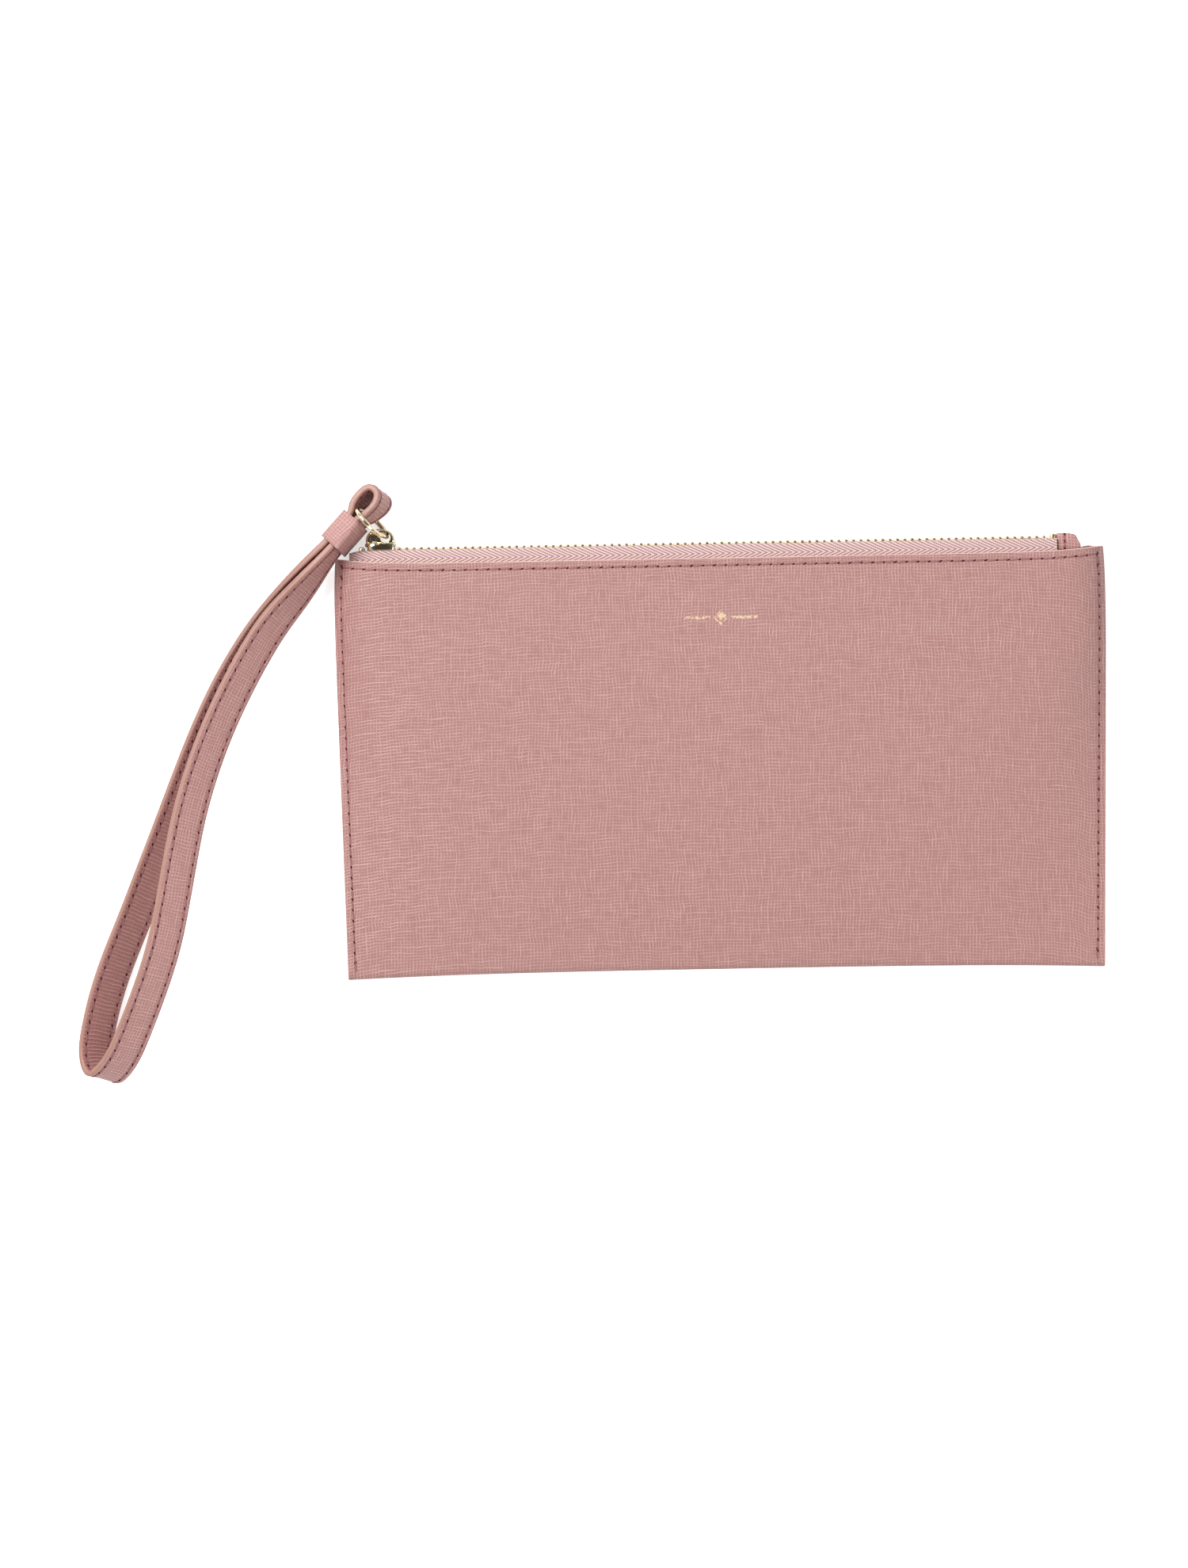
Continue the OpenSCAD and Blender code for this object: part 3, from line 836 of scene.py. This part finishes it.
def tab_line(front):
    z = tab_high.z if front else tab_low.z
    way_out = 1 if front else -1
    return lambda d: surface_frame(lambda t: (tab_low.x + 2.1, 56.75 + t, z), d, way_out)


tab_thread = sewn_row("end_tab_stitches", [(tab_line(True), 0, 2), (tab_line(False), 0, 2)], 1.95)
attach(tab_thread, "pouch")
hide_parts("end_tab_thread")


# ---- stamped mark ----
# A plain lozenge between two bars, hot stamped in pale gold foil that has worn off the
# low places of the grain.
foil_paint, foil_tree, foil_shader = paint("worn_foil", (0.95, 0.74, 0.55), 0.42, 0.7)
foil_spots = node(foil_tree, "ShaderNodeTexCoord").outputs["Object"]
foil_wear = node(foil_tree, "ShaderNodeTexNoise", Vector=foil_spots, Scale=1300.0, Detail=3.0)
foil_left = calc(foil_tree, "SUBTRACT", foil_wear.outputs[0], 0.45)
foil_left = calc(foil_tree, "MULTIPLY", foil_left, 9.0, clamp=True)
foil_color = blend_colors(foil_tree, foil_left, pouch_pink, (0.95, 0.71, 0.47))
foil_tree.links.new(foil_color, foil_shader.inputs["Base Color"])
foil_tree.links.new(calc(foil_tree, "MULTIPLY", foil_left, 0.7), foil_shader.inputs["Metallic"])
foil_bump = node(foil_tree, "ShaderNodeBump", Height=foil_left, Strength=0.3, Distance=0.00005)
foil_tree.links.new(foil_bump.outputs[0], foil_shader.inputs["Normal"])
foil_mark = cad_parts["foil_stamp"]
foil_mark.data.materials.clear()
foil_mark.data.materials.append(foil_paint)


# ---- slider ----
# Die-cast slider: two plates with a divider between them, flanges that hug the chain,
# and an arched cap on the top plate that the ring passes through. Light gold plating.
body_low, body_high = (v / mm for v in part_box("slider_body"))
plate_t = 0.95
slider_half = (body_high.z - body_low.z) / 2
left, right = body_low.x - 0.4, body_high.x


def slider_outline(half):
    """Plan of the slider: a round nose at the left, a straight mouth at the right."""
    nose = [
        (left, -0.35), (left + 0.12, -1.0), (left + 0.5, -1.7), (left + 1.1, -2.3),
        (left + 2.0, -half + 0.08), (left + 3.2, -half), (right - 1.6, -half + 0.12),
        (right - 0.5, -half + 0.35), (right, -half + 0.8)]
    lower = [(x, chain_z + max(z, -half)) for x, z in nose]
    upper = [(x, chain_z - max(z, -half)) for x, z in reversed(nose)]
    return lower + upper


def hollow(piece, low, high):
    """Cuts a block out of a piece."""
    cutter = block("cutter", low, high, 0.05, 1)
    apply(piece, "BOOLEAN", operation="DIFFERENCE", object=cutter, solver="EXACT")
    bpy.data.objects.remove(cutter)


outline = slider_outline(slider_half)
top_plate = plate("top_plate", outline, body_high.y - plate_t, body_high.y, "Y", 0.28, 3)
low_plate = plate("low_plate", outline, body_low.y, body_low.y + plate_t, "Y", 0.28, 3)
upper_flange = plate("upper_flange", outline, chain_y + 0.35, body_high.y - 0.3, "Y", 0.12, 2)
lower_flange = plate("lower_flange", outline, body_low.y + 0.3, chain_y - 0.35, "Y", 0.12, 2)
chain_room = 2.15
for flange in (upper_flange, lower_flange):
    hollow(flange, (left - 1, body_low.y - 1, chain_z - chain_room),
           (right + 1, body_high.y + 1, chain_z + chain_room))
post_outline = [
    (left + x, chain_z + z)
    for x, z in ((0.6, 0), (1.1, -0.6), (1.8, -0.85), (2.5, -0.5),
                 (3.5, 0), (2.5, 0.5), (1.8, 0.85), (1.1, 0.6))]
post = plate("post", post_outline, body_low.y + 0.3, body_high.y - 0.3, "Y", 0)
slider = joined("slider_cast", [top_plate, low_plate, upper_flange, lower_flange, post])
slider.data.materials.append(slider_metal)
smooth(slider, 40)
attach(slider, "slider")
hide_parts("slider_body")

cap_low, cap_high = (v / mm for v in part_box("slider_cap"))
foot_y = cap_low.y
cap_outline = [
    (left + 0.3, foot_y - 0.2), (left + 0.25, foot_y + 0.9), (left + 0.5, foot_y + 1.9),
    (left + 1.0, foot_y + 2.75), (left + 1.8, foot_y + 3.4), (left + 2.8, foot_y + 3.8),
    (left + 3.9, cap_high.y), (right - 3.0, cap_high.y - 0.05), (right - 1.8, foot_y + 3.45),
    (right - 0.9, foot_y + 2.8), (right - 0.35, foot_y + 1.9), (right - 0.15, foot_y + 0.9),
    (right - 0.2, foot_y - 0.2)]
cap = plate("slider_arch", cap_outline, cap_low.z - 0.1, cap_high.z + 0.25, "Z", 0.62, 5)
window_x, window_y, window_r = -91.2, 63.2, 1.45
bpy.ops.object.select_all(action="DESELECT")
bpy.ops.mesh.primitive_cylinder_add(
    vertices=40, radius=window_r * mm, depth=0.01,
    location=(window_x * mm, window_y * mm, chain_z * mm))
drill = bpy.context.active_object
apply(cap, "BOOLEAN", operation="DIFFERENCE", object=drill, solver="EXACT")
bpy.data.objects.remove(drill)
hollow(cap, (left + 1.5, foot_y - 0.1, cap_low.z + 0.55),
       (left + 3.4, foot_y + 1.7, cap_high.z + 1))
apply(cap, "BEVEL", width=0.16 * mm, segments=3, limit_method="ANGLE",
      angle_limit=math.radians(50))
cap.data.materials.append(slider_metal)
smooth(cap, 35)
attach(cap, "slider")
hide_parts("slider_cap")

spring_low, spring_high = (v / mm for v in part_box("slider_lock_spring"))
spring = block("lock_spring_strip", spring_low, spring_high, 0.12, 2)
spring.data.materials.append(plated("spring_steel", (0.66, 0.63, 0.58), 0.3))
smooth(spring, 40)
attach(spring, "slider")
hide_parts("slider_lock_spring")


# ---- ring ----
# A closed oval of 1.3 mm wire that joins the slider's cap to the strap's small loop.
wire_r = 0.65
ring_r = 4.4
ring_straight = 6.8
reach = Vector((-0.60712, 0.76869, -0.20127)).normalized()
lean = Vector((-0.16633, 0.12475, 0.97815)).normalized()
tilt = math.radians(6.5)
lean = lean * math.cos(tilt) - reach.cross(lean) * math.sin(tilt)
ring_mid = Vector((-94.5338, 67.0176, 8.4512))
bpy.ops.object.select_all(action="DESELECT")
bpy.ops.mesh.primitive_torus_add(
    major_segments=64, minor_segments=20, major_radius=ring_r, minor_radius=wire_r)
ring = bpy.context.active_object
ring.name = "oval_ring"
for v in ring.data.vertices:
    v.co.y += math.copysign(ring_straight / 2, v.co.y) if abs(v.co.y) > 1e-5 else 0
ring_way = Matrix((reach, lean, -lean.cross(reach))).transposed().to_4x4()
ring_way.translation = ring_mid
ring.data.transform(Matrix.Scale(mm, 4) @ ring_way)
ring.data.materials.append(slider_metal)
smooth(ring, 60)
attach(ring, "pull_ring")
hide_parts("pull_ring")


# ---- strap ----
# Two plies of the same leather, glued and sewn 1.5 mm from each painted edge, made into
# one closed band. The keeper pinches off a small loop for the ring.
strap_w = 10.0
ply_t = 0.9
strap_seam = 1.5
route = [
    (-106.1, 61.7, 7.9, -42, 78), (-110.9, 56.7, 7.4, -42, 70), (-119.3, 46.5, 5.6, -40, 50),
    (-127, 36.4, 4.6, -37, 38), (-134.8, 23.8, 4, -30, 35), (-141, 11.2, 3.8, -25, 34),
    (-146.4, -1.8, 3.7, -23, 33), (-151.6, -14.8, 3.7, -22, 33), (-156.8, -27.6, 3.7, -22, 33),
    (-162, -40.4, 3.7, -22, 33), (-166.2, -50.2, 3.7, -21, 33), (-169.6, -59.6, 3.8, -20, 33),
    (-172, -68.8, 3.9, -20, 33), (-173.2, -77, 4.4, -20, 33), (-170.8, -83, 7, -20, 33),
    (-165.4, -78, 11.4, -20, 33), (-161.2, -69.6, 14.4, -20, 33), (-157.2, -60, 15.9, -19, 33),
    (-153.6, -50, 16.4, -16, 33), (-151, -40, 16.2, -13, 33), (-147.7, -22.6, 14.8, -14, 33),
    (-144.2, -6.8, 13, -18, 34), (-136.6, 14.2, 10.6, -27, 36), (-124.6, 36.4, 8.9, -37, 38),
    (-116.2, 46.6, 8.5, -40, 50), (-108.8, 55.4, 8.6, -42, 70), (-104.6, 60.4, 8.5, -42, 78),
    (-98.2, 67.1, 8.3, -42, 78), (-95.1, 68.9, 8.5, -40, 76), (-92.2, 71.4, 8.8, -36, 70),
    (-91.4, 74.2, 8.4, -34, 66), (-93.8, 75.9, 7.4, -34, 66), (-96.8, 73.9, 6.9, -36, 70),
    (-99, 71.6, 6.9, -40, 76), (-99.8, 68.5, 7.3, -42, 78),
]
steps = 7


def route_at(t):
    """The route's five numbers at t, counted in route points, on a smooth closed curve."""
    i = math.floor(t)
    t -= i
    a, b, c, d = (route[(i + k) % len(route)] for k in (-1, 0, 1, 2))
    return [
        0.5 * (2 * q + (r - p) * t + (2 * p - 5 * q + 4 * r - w) * t * t
               + (3 * q - 3 * r + w - p) * t**3)
        for p, q, r, w in zip(a, b, c, d)
    ]


def eased(t):
    """The route with its tight bends eased, as stiff leather bends."""
    near = [route_at(t + step) for step in (-0.5, -0.25, 0, 0.25, 0.5)]
    return [(a + 2 * b + 2 * c + 2 * d + e) / 8 for a, b, c, d, e in zip(*near)]


def width_way(heading, dip, along):
    """The way across the strap, from its heading and its dip in degrees, square to along."""
    heading, dip = math.radians(heading), math.radians(dip)
    level = math.cos(dip)
    across = Vector((level * math.cos(heading), level * math.sin(heading), -math.sin(dip)))
    return (across - across.dot(along) * along).normalized()


def strap_frame(t):
    """Point on the strap's middle line, with the ways along, across and inward."""
    here = eased(t)
    along = (Vector(eased(t + 0.06)[:3]) - Vector(eased(t - 0.06)[:3])).normalized()
    across = width_way(here[3], here[4], along)
    return Vector(here[:3]), along, across, along.cross(across)


strap_places = [i / steps for i in range(len(route) * steps)]
strap_runs = [0.0]
for a, b in zip(strap_places, strap_places[1:] + [len(route)]):
    strap_runs.append(strap_runs[-1] + (strap_frame(b)[0] - strap_frame(a)[0]).length)
strap_length = strap_runs[-1]


def place_at(run):
    """Turns a distance along the strap into a place on its route."""
    run %= strap_length
    low_i, high_i = 0, len(strap_runs) - 1
    while high_i - low_i > 1:
        mid_i = (low_i + high_i) // 2
        if strap_runs[mid_i] <= run:
            low_i = mid_i
        else:
            high_i = mid_i
    share = (run - strap_runs[low_i]) / (strap_runs[high_i] - strap_runs[low_i])
    return (low_i + share) / steps


def ply_profile(face):
    """Cross section of one ply: (across, inward) points; face is -1 outer or 1 inner."""
    half = strap_w / 2
    groove = half - strap_seam
    right_side = [
        (half, 0.01), (half, 0.12), (half + 0.02, 0.35), (half - 0.06, 0.6), (half - 0.22, 0.8),
        (half - 0.45, ply_t - 0.01), (half - 0.8, ply_t), (groove + 0.45, ply_t),
        (groove + 0.2, ply_t - 0.07), (groove, ply_t - 0.13), (groove - 0.2, ply_t - 0.07),
        (groove - 0.45, ply_t), (groove - 1.4, ply_t + 0.02), (0, ply_t + 0.03)]
    whole = right_side + [(-w, d) for w, d in reversed(right_side[:-1])]
    return [(w, face * d) for w, d in whole]


def strap_ply(name, face):
    profile = ply_profile(face)
    made = bmesh.new()
    flat = made.loops.layers.uv.new("UVMap")
    rings = []
    for t in strap_places:
        point, along, across, inward = strap_frame(t)
        rings.append([made.verts.new((point + across * w + inward * d) * mm) for w, d in profile])
    n = len(profile)
    for i, ring in enumerate(rings):
        after = rings[(i + 1) % len(rings)]
        u0, u1 = strap_runs[i] * mm, strap_runs[i + 1] * mm
        for k in range(n):
            j = (k + 1) % n
            made_face = made.faces.new((ring[k], after[k], after[j], ring[j]))
            for corner, uv in zip(made_face.loops, ((u0, k), (u1, k), (u1, j), (u0, j))):
                corner[flat].uv = (uv[0], profile[uv[1]][0] * mm + 0.02)
            centre = (profile[k][0] + profile[j][0]) / 2
            if abs(centre) > strap_w / 2 - 0.42:
                made_face.material_index = 1
    bmesh.ops.recalc_face_normals(made, faces=made.faces)
    mesh = bpy.data.meshes.new(name)
    made.to_mesh(mesh)
    made.free()
    piece = bpy.data.objects.new(name, mesh)
    bpy.context.scene.collection.objects.link(piece)
    mesh.materials.append(strap_leather)
    mesh.materials.append(strap_edge)
    smooth(piece, 50)
    return piece


def flatten_with_slider(piece):
    """Hangs a piece of the strap on the strap's body, with a mesh of its own. The strap is one
    stiff loop, and its far end stands above the front panel."""
    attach(piece, "strap")
    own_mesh(piece)


# The inner ply wears a darker, redder copy of the strap leather, painted shade on that face; its
# deeper crossing lines stand for real creases.
creased_shaded_leather = cross_grain(
    "strap_creased_shaded_grain", (0.40, 0.190, 0.172), 0.00105, 0.3, depth=0.0003)
for name, face in (("outer", -1), ("inner", 1)):
    ply = strap_ply("strap_" + name + "_leather", face)
    if name == "inner":
        ply.data.materials[0] = creased_shaded_leather
    flatten_with_slider(ply)
    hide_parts("strap_" + name + "_ply")


def strap_line(side, face):
    """A seam on one face of the strap, measured along the strap's middle line."""
    def place(d):
        point, along, across, inward = strap_frame(place_at(d))
        out = inward * face
        point = point + across * (side * (strap_w / 2 - strap_seam)) + out * (ply_t - 0.03)
        return point, along, out.cross(along), out
    return place


strap_count = round(strap_length / stitch)
strap_stitches = sewn_row(
    "strap_stitches",
    [(strap_line(side, face), 0, strap_count) for side in (-1, 1) for face in (-1, 1)],
    strap_length / strap_count)
flatten_with_slider(strap_stitches)
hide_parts("strap_thread")


# ---- keeper ----
# A short sleeve of the same leather round both strands, closed by a line of stitches on
# its shaded face.
keeper_low = Vector((-105.3, 61, 8.2))
keeper_high = Vector((-99, 67.9, 8))
keeper_len = 9.4
keeper_t = 0.85
keeper_room = (10.3, 4.5)
keeper_way = (keeper_high - keeper_low).normalized()
keeper_across = width_way(-42, 78, keeper_way)
keeper_inward = keeper_way.cross(keeper_across)
into_keeper = Matrix((keeper_across, keeper_inward, keeper_way)).transposed().to_4x4()
into_keeper.translation = (keeper_low + keeper_high) / 2

bpy.ops.object.select_all(action="DESELECT")
bpy.ops.mesh.primitive_cube_add(size=1)
keeper = bpy.context.active_object
keeper.name = "keeper_sleeve"
keeper_wide = keeper_room[0] + 2 * keeper_t
keeper_deep = keeper_room[1] + 2 * keeper_t
for v in keeper.data.vertices:
    v.co = (v.co.x * keeper_wide, v.co.y * keeper_deep, v.co.z * keeper_len)
bpy.ops.object.mode_set(mode="EDIT")
sleeve = bmesh.from_edit_mesh(keeper.data)
for face in sleeve.faces:
    face.select = abs(face.normal.z) > 0.9
bmesh.update_edit_mesh(keeper.data)
bpy.ops.mesh.delete(type="ONLY_FACE")
bpy.ops.object.mode_set(mode="OBJECT")
apply(keeper, "BEVEL", width=1.35, segments=5, limit_method="ANGLE", angle_limit=math.radians(60))
bpy.ops.object.mode_set(mode="EDIT")
bpy.ops.mesh.select_all(action="SELECT")
bpy.ops.mesh.subdivide(number_cuts=3)
bpy.ops.object.mode_set(mode="OBJECT")
for v in keeper.data.vertices:
    dome = 1 - (v.co.x / keeper_wide * 2) ** 2
    v.co.y *= 1 + 0.025 * dome
    v.co.x += 0.05 * math.sin(v.co.z * 0.9)
keeper_uv = keeper.data.uv_layers.active or keeper.data.uv_layers.new(name="UVMap")
for corner in keeper.data.loops:
    co = keeper.data.vertices[corner.vertex_index].co
    keeper_uv.data[corner.index].uv = ((co.x + co.y) * mm, co.z * mm)
keeper.data.transform(Matrix.Scale(mm, 4) @ into_keeper)
keeper.data.materials.append(strap_leather)
keeper.data.materials.append(strap_edge)
apply(keeper, "SOLIDIFY", thickness=keeper_t * mm, offset=-1, material_offset_rim=1)
apply(keeper, "BEVEL", width=0.2 * mm, segments=2, limit_method="ANGLE",
      angle_limit=math.radians(60))
smooth(keeper, 50)
flatten_with_slider(keeper)
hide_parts("strap_keeper")


def keeper_line(d):
    face = keeper_deep / 2 + 0.1
    point = into_keeper @ Vector((2.6, face, -3.9 + d))
    return point, keeper_way, keeper_inward.cross(keeper_way), keeper_inward


keeper_stitches = sewn_row("keeper_stitches", [(keeper_line, 0, 3)], 2.6)
flatten_with_slider(keeper_stitches)
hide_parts("keeper_thread")
